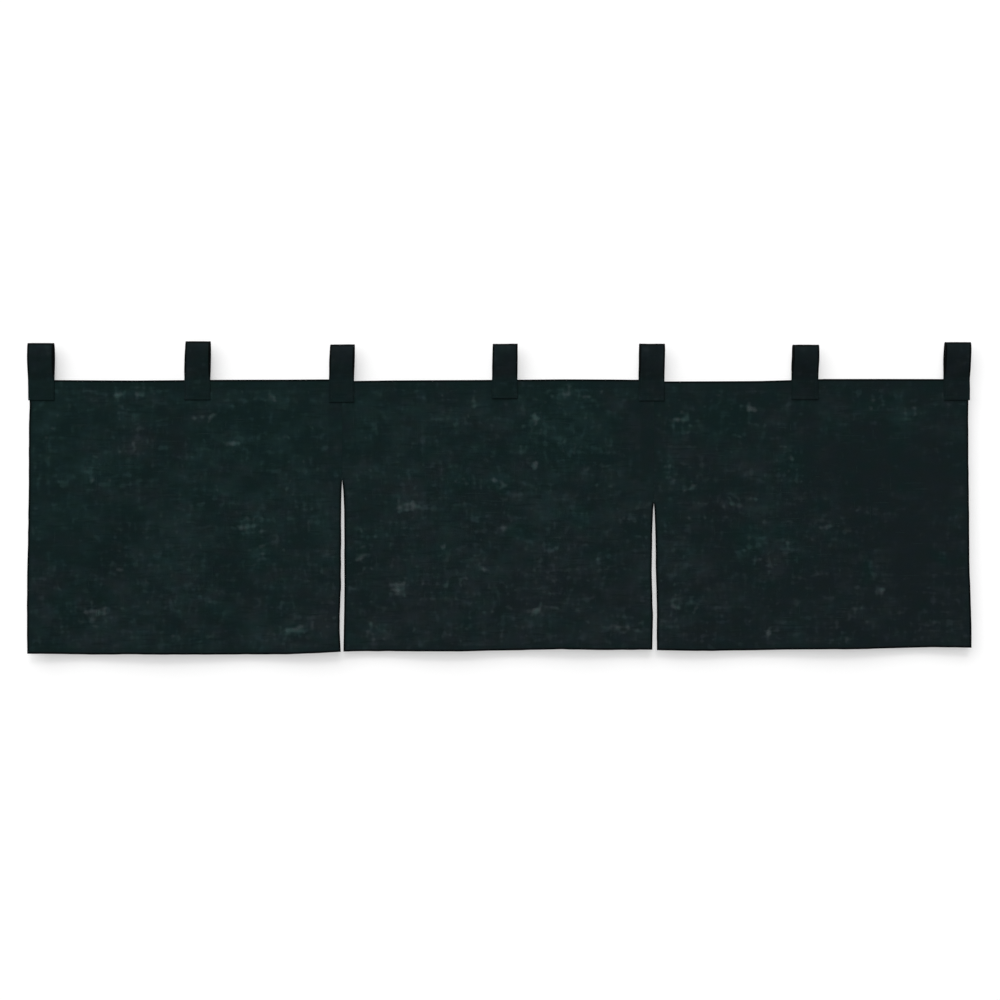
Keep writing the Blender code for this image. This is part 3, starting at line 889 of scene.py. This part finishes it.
def add_lines(name, lines):
    """A curve object with one straight-jointed line for each list of (point, radius)."""
    curve = bpy.data.curves.new(name, "CURVE")
    curve.dimensions = "3D"
    for points, radii in lines:
        spline = curve.splines.new("POLY")
        spline.points.add(len(points) - 1)
        flat = np.concatenate([points, np.ones((len(points), 1))], axis=1)
        spline.points.foreach_set("co", flat.reshape(-1).astype(np.float32))
        spline.points.foreach_set("radius", np.asarray(radii, np.float32))
    obj = bpy.data.objects.new(name, curve)
    bpy.context.scene.collection.objects.link(obj)
    return obj


def even_radii(points):
    return points, np.ones(len(points))


def free_spans(panel, along, drop):
    """The runs of these shares of the width that no strap covers, this far below the top edge."""
    down = drop / CLOTH_HEIGHT
    x = left_x(panel, down) + along * (right_x(panel, down) - left_x(panel, down))
    clear = beside_straps(x) > CLEAR_OF_STRAP
    changes = np.flatnonzero(np.diff(clear.astype(int))) + 1
    spans = zip(np.split(along, changes), np.split(clear, changes))
    return [span for span, is_clear in spans if is_clear[0] and len(span) > 1]


def panel_sewing_lines(panel, face):
    """The rows of sewing along the panel's hems, on one face of it."""
    width = float(right_x(panel, 0.0) - left_x(panel, 0.0))
    across = np.arange(SIDE_ROW / width, 1 - SIDE_ROW / width, ROW_STEP / TOP_ROW_FINENESS / width)
    rows = [(span, np.full_like(span, TOP_ROW / CLOTH_HEIGHT)) for span in free_spans(panel, across, TOP_ROW)]
    across = across[::TOP_ROW_FINENESS]
    rows.append((across, np.full_like(across, 1 - BOTTOM_ROW / CLOTH_HEIGHT)))
    for edge in (panel.left, panel.right):
        start = edge.opens + SLIT_ROW_START if isinstance(edge, Slit) else TOP_ROW / CLOTH_HEIGHT
        down = np.arange(start, 1 - BOTTOM_ROW / CLOTH_HEIGHT, ROW_STEP / CLOTH_HEIGHT)
        share = SIDE_ROW / (right_x(panel, down) - left_x(panel, down))
        rows.append((share if edge is panel.left else 1 - share, down))
    return [even_radii(cloth_face(panel, across, down, face)) for across, down in rows]


def tack_lines(panel, face):
    """Where threads lie across the end of the seam on the panel's right, which takes the slit's pull.
    Each line starts at the middle of its one thread and is too short for a second."""
    lines = []
    for number in range(TACK_THREADS if isinstance(panel.right, Slit) else 0):
        down = np.array([panel.right.opens - (number + 0.5) * TACK_PITCH / CLOTH_HEIGHT])
        _, y, z = cloth_face(panel, np.array([TACK_ACROSS]), down, face)[0]
        x = seam_x(panel.right)
        lines.append(even_radii(np.array([(x, y, z), (x + TACK_WIDTH / 2, y, z)])))
    return lines


def strap_sewing_lines(tab):
    """The rows down both sides of a strap, and those that fix its leaves to the hem."""
    _, height, length = strap_path(tab)
    total = length[-1]
    lines = []
    along = np.arange(STRAP_ROW_START, total - STRAP_ROW_START, ROW_STEP / 2) / total
    share = STRAP_SIDE_ROW / (tab.width_base * MM)
    for side in (share, 1 - share):
        lines.append(even_radii(strap_face(tab, np.full_like(along, side), along, "outer")))
    front = length < total / 2
    for row in LAP_ROWS:
        at = np.interp(-HEADING_DROP - row, height[front], length[front]) / total
        across = np.linspace(share, 1 - share, 16)
        for along_share in (at, 1 - at):
            along = np.full_like(across, along_share)
            lines.append(even_radii(strap_face(tab, across, along, "outer")))
    return lines


def slub_lines(panel):
    """Thick places in single yarns, along the warp and along the weft, on both faces."""
    draws = np.random.default_rng(panel.seed)
    width = float(right_x(panel, 0.0) - left_x(panel, 0.0))
    lines = []
    for number in range(SLUBS_A_PANEL):
        along_weft = number % 5 < WEFT_SLUBS
        face = "front" if number % 2 == 0 else "back"
        length = draws.uniform(*SLUB_LENGTH) * (1.0 if along_weft else WARP_SLUB_SHARE)
        across = draws.uniform(0.03, 0.97 - length / width)
        down = draws.uniform(SLUBS_FROM, 0.96 - length / CLOTH_HEIGHT)
        run = np.linspace(0.0, length, max(5, round(length / SLUB_STEP)))
        waver = SLUB_WAVER * np.sin(tau * run / SLUB_WAVER_LENGTH + draws.uniform(0, tau))
        if along_weft:
            points = cloth_face(panel, across + run / width, down + waver / CLOTH_HEIGHT, face)
        else:
            points = cloth_face(panel, across + waver / width, down + run / CLOTH_HEIGHT, face)
        radii = draws.uniform(*SLUB_RADIUS) * np.sin(pi * run / length) ** SLUB_TAPER
        points[:, 1] += SLUB_SUNK * radii * (1 if face == "front" else -1)
        lines.append((points, radii))
    return lines


# Node trees that lay threads along lines


def feed(tree, value, socket):
    """Links another node's socket to this one, or sets a plain value on it."""
    if isinstance(value, bpy.types.NodeSocket):
        tree.links.new(value, socket)
    else:
        socket.default_value = value


def add_node(tree, kind, fed=(), **settings):
    """A node of this kind, with these settings and with its sockets fed."""
    node = tree.nodes.new(kind)
    for setting, value in settings.items():
        setattr(node, setting, value)
    for socket, value in dict(fed).items():
        feed(tree, value, node.inputs[socket])
    return node


def thread_tree(name, sizes):
    """A tree, and its own sockets for the lines that come in, each named size and the finish."""
    tree = bpy.data.node_groups.new(name, "GeometryNodeTree")
    kinds = {"Lines": "NodeSocketGeometry", **sizes, "Finish": "NodeSocketMaterial"}
    for socket, kind in kinds.items():
        tree.interface.new_socket(socket, in_out="INPUT", socket_type=kind)
    tree.interface.new_socket("Threads", in_out="OUTPUT", socket_type="NodeSocketGeometry")
    return tree, tree.nodes.new("NodeGroupInput").outputs


def finish_tree(tree, geometry, finish):
    """Realizes the threads, smooths them and gives them their finish."""
    smooth = add_node(tree, "GeometryNodeSetShadeSmooth", {"Geometry": geometry})
    realize = add_node(tree, "GeometryNodeRealizeInstances", {"Geometry": smooth.outputs["Geometry"]})
    fed = {"Geometry": realize.outputs["Geometry"], "Material": finish}
    finished = add_node(tree, "GeometryNodeSetMaterial", fed)
    add_node(tree, "NodeGroupOutput", {"Threads": finished.outputs["Geometry"]})
    return tree


def sewing_tree():
    """Rows of stitches: small spindles of thread set end to end along the lines."""
    sizes = dict.fromkeys(("Stitch Length", "Space Between", "Thread Thickness", "Slant"), "NodeSocketFloat")
    tree, given = thread_tree("rows_of_sewing", {**sizes, "Seed": "NodeSocketInt"})
    pitch = add_node(tree, "ShaderNodeMath", {0: given["Stitch Length"], 1: given["Space Between"]})
    fed = {"Curve": given["Lines"], "Length": pitch.outputs[0]}
    places = add_node(tree, "GeometryNodeCurveToPoints", fed, mode="LENGTH")
    fed = {"Segments": STITCH_SIDES, "Rings": STITCH_RINGS, "Radius": 0.5}
    stitch = add_node(tree, "GeometryNodeMeshUVSphere", fed)
    fed = {2: STITCH_EVENNESS[0], 3: STITCH_EVENNESS[1], "Seed": given["Seed"]}
    uneven = add_node(tree, "FunctionNodeRandomValue", fed)
    fed = {0: uneven.outputs[1], 1: given["Stitch Length"]}
    length = add_node(tree, "ShaderNodeMath", fed, operation="MULTIPLY")
    fed = {0: given["Thread Thickness"], 1: given["Thread Thickness"], 2: length.outputs[0]}
    size = add_node(tree, "ShaderNodeCombineXYZ", fed)
    other_way = add_node(tree, "ShaderNodeMath", {0: given["Slant"], 1: -1.0}, operation="MULTIPLY")
    fed = {0: other_way.outputs[0], 1: given["Slant"], "Seed": given["Seed"]}
    lean = add_node(tree, "FunctionNodeRandomValue", fed, data_type="FLOAT_VECTOR")
    turn = add_node(tree, "FunctionNodeEulerToRotation", {0: lean.outputs[0]})
    fed = {0: places.outputs["Rotation"], 1: turn.outputs[0]}
    rotation = add_node(tree, "FunctionNodeRotateRotation", fed, rotation_space="LOCAL")
    fed = {
        "Points": places.outputs["Points"],
        "Instance": stitch.outputs["Mesh"],
        "Rotation": rotation.outputs[0],
        "Scale": size.outputs[0],
    }
    stitches = add_node(tree, "GeometryNodeInstanceOnPoints", fed)
    return finish_tree(tree, stitches.outputs["Instances"], given["Finish"])


def slub_tree():
    """Thick yarn: a round thread along each line, as thick as the line's own radius says."""
    tree, given = thread_tree("slub_yarns", {"Sides": "NodeSocketInt", "Thickness": "NodeSocketFloat"})
    ring = add_node(tree, "GeometryNodeCurvePrimitiveCircle", {"Radius": 1.0, "Resolution": given["Sides"]})
    radius = tree.nodes.new("GeometryNodeInputRadius")
    fed = {0: radius.outputs[0], 1: given["Thickness"]}
    thickness = add_node(tree, "ShaderNodeMath", fed, operation="MULTIPLY")
    fed = {"Curve": given["Lines"], "Profile Curve": ring.outputs["Curve"], "Scale": thickness.outputs[0]}
    yarn = add_node(tree, "GeometryNodeCurveToMesh", fed)
    return finish_tree(tree, yarn.outputs["Mesh"], given["Finish"])


def lay_threads(name, lines, tree, settings):
    """The threads that a tree lays along these lines, as a plain mesh."""
    guide = add_lines(name + "_guide", lines)
    modifier = guide.modifiers.new("threads", "NODES")
    modifier.node_group = tree
    sockets = {item.name: item.identifier for item in tree.interface.items_tree if item.in_out == "INPUT"}
    for setting, value in settings.items():
        modifier[sockets[setting]] = value
    bpy.context.view_layer.update()
    evaluated = guide.evaluated_get(bpy.context.evaluated_depsgraph_get())
    mesh = bpy.data.meshes.new_from_object(evaluated)
    mesh.name = name
    obj = bpy.data.objects.new(name, mesh)
    bpy.context.scene.collection.objects.link(obj)
    bpy.data.objects.remove(guide)
    return obj


# Finishes


class Shading:
    """Adds shader nodes to a material and links them."""

    def __init__(self, name):
        self.material = bpy.data.materials.new(name)
        self.material.use_nodes = True
        self.tree = self.material.node_tree
        self.surface = self.tree.nodes["Principled BSDF"]

    def put(self, value, socket):
        feed(self.tree, value, socket)

    def add_node(self, kind, fed=(), **settings):
        return add_node(self.tree, kind, fed, **settings)

    def math(self, operation, *values):
        return self.add_node("ShaderNodeMath", enumerate(values), operation=operation).outputs[0]

    def vector(self, x, y, z):
        return self.add_node("ShaderNodeCombineXYZ", {0: x, 1: y, 2: z}).outputs[0]

    def split(self, vector):
        return self.add_node("ShaderNodeSeparateXYZ", {0: vector}).outputs

    def noise(self, x, y, z, detail=2.0, roughness=0.5):
        """Noise from about 0 to 1, with a mean of 0.5."""
        fed = {"Vector": self.vector(x, y, z), "Scale": 1.0, "Detail": detail, "Roughness": roughness}
        return self.add_node("ShaderNodeTexNoise", fed).outputs["Fac"]

    def ramp(self, value, start, end, low=0.0, high=1.0):
        """A smooth step from low to high as the value goes from start to end."""
        fed = enumerate((value, start, end, low, high))
        return self.add_node("ShaderNodeMapRange", fed, interpolation_type="SMOOTHSTEP").outputs[0]

    def blend(self, share, first, second, kind="MIX"):
        first, second = [(*c, 1.0) if isinstance(c, tuple) else c for c in (first, second)]
        fed = {0: share, 6: first, 7: second}  # 6 and 7 are the node's sockets for colours
        return self.add_node("ShaderNodeMix", fed, data_type="RGBA", blend_type=kind).outputs[2]

    def attribute(self, name):
        return self.add_node("ShaderNodeAttribute", attribute_name=name).outputs["Fac"]

    def bump(self, height, distance, strength):
        fed = {"Strength": strength, "Distance": distance, "Height": height}
        self.put(self.add_node("ShaderNodeBump", fed).outputs["Normal"], self.surface.inputs["Normal"])

    def object_place(self):
        return self.split(self.add_node("ShaderNodeTexCoord").outputs["Object"])

    def set_surface(self, values):
        """Sets or links these sockets of the shader."""
        for socket, value in values.items():
            self.put(value, self.surface.inputs[socket])


class Weave(Shading):
    """Shading of plain weave, placed by the cloth's own map in mm, and by its marks."""

    def __init__(self, name):
        super().__init__(name)
        u, v, _ = self.split(self.add_node("ShaderNodeUVMap", uv_map="weave").outputs["UV"])
        self.u = self.math("MULTIPLY", u, 1 / MM)
        self.v = self.math("MULTIPLY", v, 1 / MM)
        sway, dip = self.drawn(SWAY), self.drawn(DIP)
        self.u = self.add(sway, 3.0, self.u)
        self.v = self.add(dip, 3.0, self.v)
        self.warp = self.math("DIVIDE", self.u, YARN_PITCH[0])
        self.weft = self.math("DIVIDE", self.v, YARN_PITCH[1])
        self.uneven = {draw: self.drawn(draw) for draw, _ in FINE_TONES + SLOW_TONES}
        self.layers = self.attribute("layers")
        self.looped = self.attribute("looped")

    def drawn(self, draw):
        """Unevenness about 0, from about -0.5 to 0.5."""
        across = self.math("DIVIDE", self.u, draw.across)
        down = self.math("DIVIDE", self.v, draw.down)
        return self.math("SUBTRACT", self.noise(across, down, draw.level, draw.detail, draw.rough), 0.5)

    def add(self, value, share, total):
        return self.math("MULTIPLY_ADD", value, share, total)

    def either(self, share, first, second):
        return self.math("MULTIPLY_ADD", self.math("SUBTRACT", second, first), share, first)

    def ridge(self, yarns):
        """1 along the middle of each yarn and 0 between two."""
        return self.math("ABSOLUTE", self.math("SINE", self.math("MULTIPLY", yarns, pi)))


def yarn_bodies(shade):
    """How thick the warp and the weft are, each along its own length, and where the warp is on top."""
    warp_place = shade.math("MULTIPLY", shade.math("FLOOR", shade.warp), 1.7)
    weft_place = shade.math("MULTIPLY", shade.math("FLOOR", shade.weft), 1.7)
    warp_body = shade.noise(warp_place, shade.math("DIVIDE", shade.v, 16.0), 9.7)
    weft_body = shade.noise(shade.math("DIVIDE", shade.u, 14.0), weft_place, 3.1)
    crossing = [shade.math("SINE", shade.math("MULTIPLY", yarns, pi)) for yarns in (shade.warp, shade.weft)]
    return warp_body, weft_body, shade.ramp(shade.math("MULTIPLY", *crossing), -0.35, 0.35)


def open_weave(shade, thin, openness):
    """How open the weave is about here, and the light that shows where open runs cross."""
    open_here = shade.add(thin, THIN_OPENS, shade.math("MULTIPLY", shade.uneven[PATCH], PATCH_OPENS))
    open_here = shade.add(shade.uneven[WIDE_PATCH], WIDE_PATCH_OPENS, open_here)
    open_here = shade.add(shade.layers, LAYERS_OPEN, open_here)
    weft_run = shade.math("MULTIPLY", shade.drawn(WEFT_GAP), RUNS_OPEN)
    runs = shade.add(shade.drawn(WARP_GAP), RUNS_OPEN, weft_run)
    gap = shade.add(thin, THIN_OPENS_RUNS, shade.math("ADD", runs, open_here))
    gap = shade.math("MULTIPLY", shade.ramp(gap, *LIGHT_SHOWS), openness)
    hollows = [shade.math("SUBTRACT", 1.0, shade.ridge(yarns)) for yarns in (shade.warp, shade.weft)]
    hollow = shade.add(shade.math("MULTIPLY", *hollows), 1 - LIGHT_ON_YARNS, LIGHT_ON_YARNS)
    return open_here, shade.math("MULTIPLY", gap, hollow)


def tone_of_weave(shade, yarn, open_here, thin, x, variation):
    """How light the cloth is, about 1: its fine unevenness is strong in some places, weak in others."""
    crossed = shade.math("ADD", shade.uneven[WEFT_BAND], shade.uneven[WARP_BAND])
    crossed = shade.add(shade.drawn(DAPPLE), 0.60, shade.add(open_here, 0.50, crossed))
    tone = shade.math("MULTIPLY", yarn, YARN_TONE)
    for draw, share in FINE_TONES:
        tone = shade.add(shade.uneven[draw], share, tone)
    tone = shade.add(shade.ramp(crossed, 0.10, 0.42), CROSSED_TONE, tone)
    busy = shade.add(shade.drawn(BUSY_NEAR), 0.6, shade.drawn(BUSY_WIDE))
    tone = shade.math("MULTIPLY", tone, shade.ramp(busy, -0.24, 0.30, *BUSY_SHARES))
    close_here = shade.add(shade.drawn(CLOSE_PLACE), 0.50, shade.drawn(CLOSE_RUN))
    tone = shade.add(shade.ramp(close_here, 0.13, 0.27), CLOSE_TONE, tone)
    for draw, share in SLOW_TONES:
        tone = shade.add(shade.uneven[draw], share, tone)
    calm = shade.add(shade.layers, CALM_IN_LAYERS, shade.ramp(thin, -1.0, 0.0, CALM_WHERE_CLOSE, 1.0))
    tone = shade.add(shade.math("MULTIPLY", tone, calm), variation, MEAN_TONE)
    tone = shade.add(thin, THIN_TONE, tone)
    tone = shade.add(shade.math("MINIMUM", thin, 0.0), THICK_TONE, tone)
    tone = shade.add(shade.layers, LAYERS_TONE, tone)
    tone = shade.add(shade.looped, LOOPED_TONE, tone)
    tone = shade.add(shade.ramp(x, *RIGHT_FROM), RIGHT_TONE, tone)
    return shade.math("SMOOTH_MAX", tone, DARKEST_TONE, 0.20)


def dye_of_weave(shade, x, z):
    """Greener up on the left, greyer and bluer down on the right, and uneven all over."""
    drift = shade.add(x, ACROSS_HUE, shade.math("MULTIPLY", z, UP_HUE))
    drift = shade.add(shade.attribute("green"), GREEN_HUE, drift)
    drift = shade.add(shade.looped, LOOPED_HUE, drift)
    for draw, share in HUES:
        drift = shade.add(shade.drawn(draw), share, drift)
    return shade.blend(shade.ramp(drift, -0.7, 1.5), TEAL_DYE, SLATE_DYE)


def yarn_relief(shade, warp_body, weft_body, warp_over):
    """The yarns stand up as ridges, higher where they are thick and where they pass over."""
    warp_height = shade.math("MULTIPLY", shade.ridge(shade.warp), shade.add(warp_body, 0.8, warp_over))
    weft_over = shade.math("SUBTRACT", 1.0, warp_over)
    weft_height = shade.math("MULTIPLY", shade.ridge(shade.weft), shade.add(weft_body, 0.8, weft_over))
    relief = shade.math("MULTIPLY", shade.math("MAXIMUM", warp_height, weft_height), 0.50)
    relief = shade.add(shade.uneven[WEFT_RUN], 0.9, relief)
    return shade.add(shade.uneven[WARP_RUN], 0.7, relief)


def slub_cloth(name, depth=1.0, variation=1.0, openness=1.0):
    """Plain weave of thick-and-thin yarn. Depth is how light it looks for its dye, 1 for single
    cloth, variation how much its tone varies, and openness how open its thin places are."""
    shade = Weave(name)
    x, _, z = shade.object_place()
    warp_body, weft_body, warp_over = yarn_bodies(shade)
    yarn = shade.math("SUBTRACT", shade.either(warp_over, weft_body, warp_body), 0.5)
    thin = shade.math("MULTIPLY", shade.attribute("thin"), openness)
    open_here, gap = open_weave(shade, thin, openness)
    tone = tone_of_weave(shade, yarn, open_here, thin, x, variation)
    red = shade.add(shade.math("SUBTRACT", tone, 1.0), RED_OVER_GREEN, 1.0)
    blue = shade.math("MULTIPLY", tone, shade.add(shade.drawn(BLUE), BLUE_TONE, 1.0))
    # the dye darkened by the painted shade along the edges and the painted shadow at the leaves' ends
    painted_shade = shade.math("MULTIPLY", shade.add(shade.attribute("painted_shade"), PAINTED_SHADE_TONE, 1.0), depth)
    tint = [shade.math("MULTIPLY", part, painted_shade) for part in (red, tone, blue)]
    dyed = shade.blend(1.0, dye_of_weave(shade, x, z), shade.vector(*tint), "MULTIPLY")
    light = shade.blend(shade.ramp(shade.drawn(GAP_TINT), -0.12, 0.12), GREEN_LIGHT, GREY_LIGHT)
    surface = {
        "Base Color": shade.blend(gap, dyed, light),
        "Roughness": shade.math("MINIMUM", shade.add(shade.uneven[PATCH], 0.12, 0.90), 1.0),
        "Specular IOR Level": 0.05,
        "Sheen Weight": 0.01,
        "Sheen Roughness": 0.5,
        "Sheen Tint": (0.55, 0.75, 0.75, 1.0),
    }
    shade.set_surface(surface)
    shade.bump(yarn_relief(shade, warp_body, weft_body, warp_over), 0.00020, 0.7)
    return shade.material


def thread_finish(name, colour):
    """Twisted sewing thread or yarn."""
    shade = Shading(name)
    place = shade.object_place()
    uneven, slow = [
        shade.noise(*[shade.math("MULTIPLY", axis, cells) for axis in place]) for cells in THREAD_CELLS
    ]
    tone = shade.math("MULTIPLY_ADD", shade.math("SUBTRACT", uneven, 0.5), 0.6, 1.0)
    tone = shade.math("MULTIPLY_ADD", shade.math("SUBTRACT", slow, 0.5), 0.8, tone)
    surface = {
        "Base Color": shade.blend(1.0, colour, shade.vector(tone, tone, tone), "MULTIPLY"),
        "Roughness": shade.math("MULTIPLY_ADD", uneven, 0.15, 0.72),
        "Specular IOR Level": 0.08,
        "Sheen Weight": 0.01,
    }
    shade.set_surface(surface)
    shade.bump(uneven, 0.0001, 0.5)
    return shade.material


# The room


def plane(name, corners, finish):
    mesh = bpy.data.meshes.new(name)
    mesh.from_pydata(corners, [], [range(len(corners))])
    mesh.materials.append(finish)
    obj = bpy.data.objects.new(name, mesh)
    bpy.context.scene.collection.objects.link(obj)
    return obj


def make_floor():
    shade = Shading("pale_floor")
    shade.set_surface({"Base Color": (*FLOOR_COLOUR, 1.0), "Roughness": 0.9})
    low, high = -FLOOR_REACH, FLOOR_REACH
    corners = [(x, y, FLOOR_HEIGHT) for x, y in ((low, low), (high, low), (high, high), (low, high))]
    floor = plane("floor", corners, shade.material)
    floor.visible_diffuse = False


def make_wall():
    """A white wall just behind the curtain, seen from the front alone, that takes its soft shadow."""
    shade = Shading("white_wall")
    surface = {
        "Base Color": (*WALL_COLOUR, 1.0),
        "Roughness": 1.0,
        "Specular IOR Level": 0.0,
        "Emission Color": (*WHITE, 1.0),
        "Emission Strength": WALL_GLOW,
    }
    shade.set_surface(surface)
    clear = shade.add_node("ShaderNodeBsdfTransparent")
    side = shade.add_node("ShaderNodeNewGeometry")
    fed = {0: side.outputs["Backfacing"], 1: shade.surface.outputs[0], 2: clear.outputs[0]}
    pick = shade.add_node("ShaderNodeMixShader", fed)
    shade.put(pick.outputs[0], shade.tree.nodes["Material Output"].inputs["Surface"])
    low, high = (-WALL_REACH, FLOOR_HEIGHT), (WALL_REACH, WALL_TOP)
    ends = (low, (high[0], low[1]), high, (low[0], high[1]))
    wall = plane("wall", [(x, WALL_BEHIND, z) for x, z in ends], shade.material)
    wall.visible_diffuse = False
    wall.visible_glossy = False
    wall.visible_transmission = False
    wall.visible_shadow = False


def make_light():
    """Lamps that shine evenly from all directions within an angle, and a pale sky."""
    for lamp in LAMPS:
        sun = bpy.data.lights.new(lamp.name, "SUN")
        sun.angle = radians(lamp.spread)
        sun.energy = lamp.strength
        obj = bpy.data.objects.new(lamp.name, sun)
        obj.rotation_euler = Vector(lamp.towards).to_track_quat("Z", "Y").to_euler()
        bpy.context.scene.collection.objects.link(obj)
    world = bpy.data.worlds.new("studio")
    world.use_nodes = True
    tree = world.node_tree
    path = add_node(tree, "ShaderNodeLightPath")
    fed = {"Value": path.outputs["Is Camera Ray"], "To Min": SKY_LIGHT, "To Max": SKY_SEEN}
    level = add_node(tree, "ShaderNodeMapRange", fed)
    feed(tree, (*WHITE, 1.0), tree.nodes["Background"].inputs["Color"])
    feed(tree, level.outputs[0], tree.nodes["Background"].inputs["Strength"])
    bpy.context.scene.world = world
    bpy.context.scene.view_settings.view_transform = "Standard"


def make_camera():
    camera = bpy.data.cameras.new("camera")
    camera.sensor_width = SENSOR_WIDTH
    camera.lens = SENSOR_WIDTH * CAMERA_DISTANCE / FRAME_WIDTH
    obj = bpy.data.objects.new("camera", camera)
    obj.location = (FRAME_MIDDLE[0], -CAMERA_DISTANCE, FRAME_MIDDLE[1])
    obj.rotation_euler = (radians(90), 0.0, 0.0)
    bpy.context.scene.collection.objects.link(obj)
    bpy.context.scene.camera = obj


# Putting it together

panel_finish = slub_cloth("panel_cloth_finish")
strap_finish = slub_cloth("strap_cloth_finish", depth=0.80, variation=0.6, openness=0.0)
sewing_finish = thread_finish("sewing_thread_finish", SEWING_COLOUR)
slub_finish = thread_finish("slub_yarn_finish", SLUB_COLOUR)
rows_of_sewing = sewing_tree()
slub_yarns = slub_tree()
STITCHES = {
    "Stitch Length": STITCH_LENGTH,
    "Space Between": STITCH_SPACE,
    "Thread Thickness": THREAD_THICKNESS,
    "Slant": radians(STITCH_SLANT),
    "Finish": sewing_finish,
}
TACK = STITCHES | {"Stitch Length": TACK_WIDTH, "Thread Thickness": TACK_PITCH, "Seed": 4}
SLUBS = {"Sides": SLUB_SIDES, "Thickness": 1.0, "Finish": slub_finish}

make_camera()
make_light()
make_floor()
make_wall()

for tab in TABS:
    strap = make_strap(tab)
    strap.data.materials.append(strap_finish)
    settings = STITCHES | {"Seed": tab.sixth + 3}
    seams = lay_threads(tab.name + "_sewing", strap_sewing_lines(tab), rows_of_sewing, settings)
    for piece in (strap, seams):
        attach(piece, "root")
        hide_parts(tab.name)
    float(strap_path(tab)[2][-1])

for panel in PANELS:
    cloth = make_panel_cloth(panel)
    cloth.data.materials.append(panel_finish)
    rows = panel_sewing_lines(panel, "front") + panel_sewing_lines(panel, "back")
    settings = STITCHES | {"Seed": panel.seed}
    threads = [
        lay_threads(panel.name + "_sewing", rows, rows_of_sewing, settings),
        lay_threads(panel.name + "_slubs", slub_lines(panel), slub_yarns, SLUBS),
    ]
    tacks = tack_lines(panel, "front") + tack_lines(panel, "back")
    if tacks:
        threads.append(lay_threads(panel.name + "_tack", tacks, rows_of_sewing, TACK))
    for piece in [cloth] + threads:
        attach(piece, "root")
        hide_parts(panel.name)
